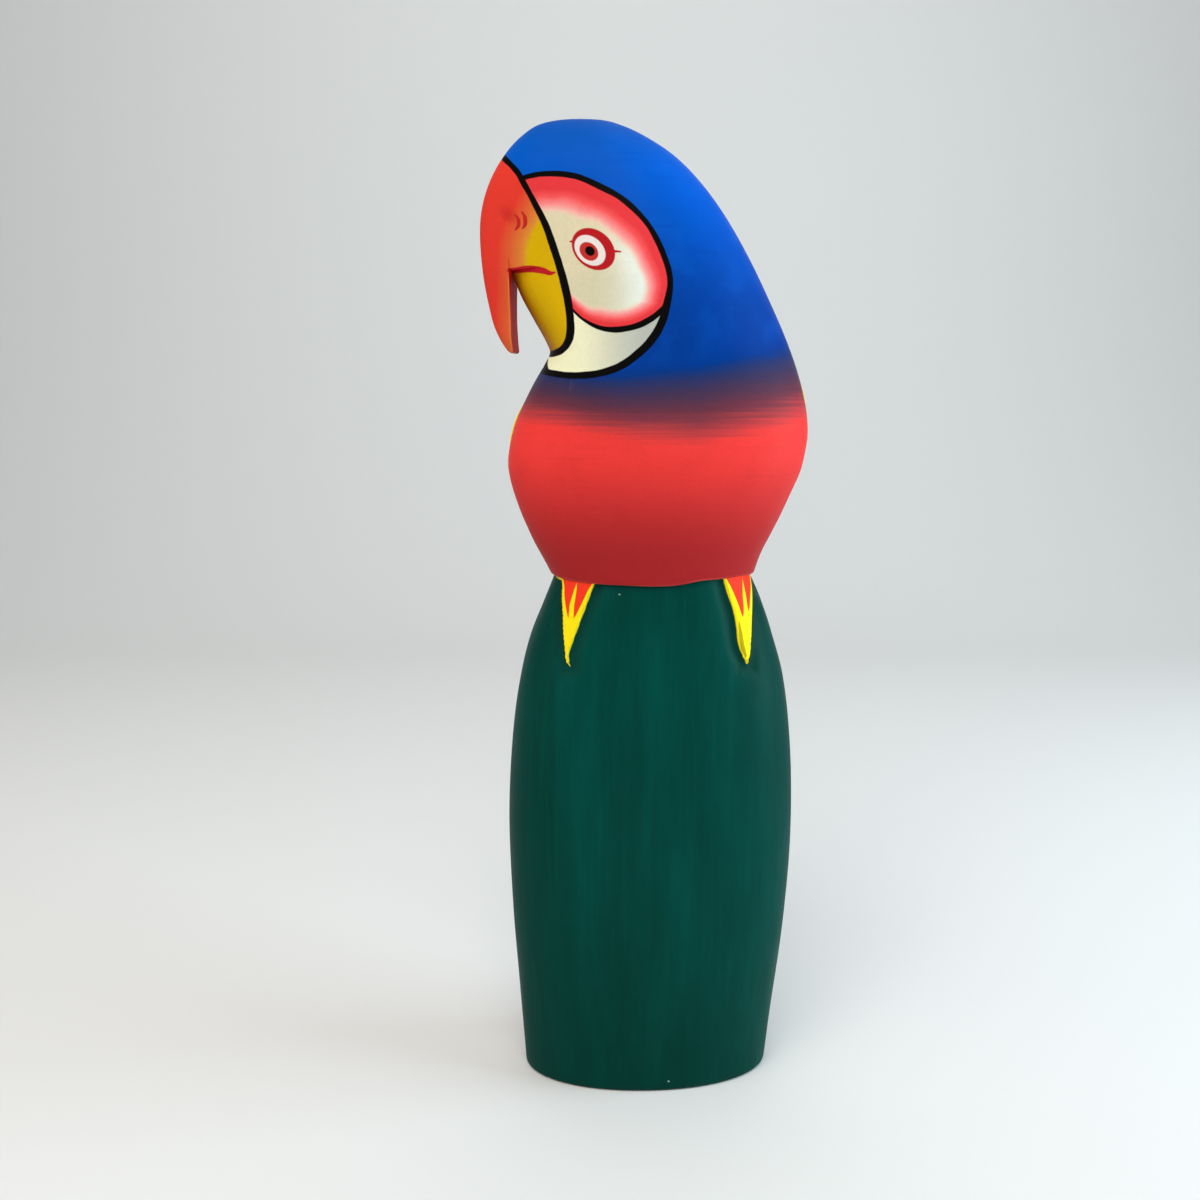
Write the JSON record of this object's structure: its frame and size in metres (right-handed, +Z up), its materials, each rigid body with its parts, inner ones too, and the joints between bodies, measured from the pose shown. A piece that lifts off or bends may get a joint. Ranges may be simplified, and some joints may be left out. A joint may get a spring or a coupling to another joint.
{
  "type": "parrot figurine",
  "caption": "Standing parrot figurine carved from light wood and painted, head turned in profile with a free hooked beak, on its own tapered trunk with a flat underside.",
  "frame": {"origin": "middle of the flat underside, on the surface that it stands on", "axes": "+Z up to the crown, -Y the way the breast faces, -X the way the beak points"},
  "size_m": [0.1384, 0.0873, 0.415],
  "materials": {
    "painted_wood": "light wood under satin acrylic paint: green trunk, red breast, blue hood, yellow, white and black on the head"
  },
  "bodies": {
    "root": {"parrot": "painted_wood"}
  },
  "joints": []
}
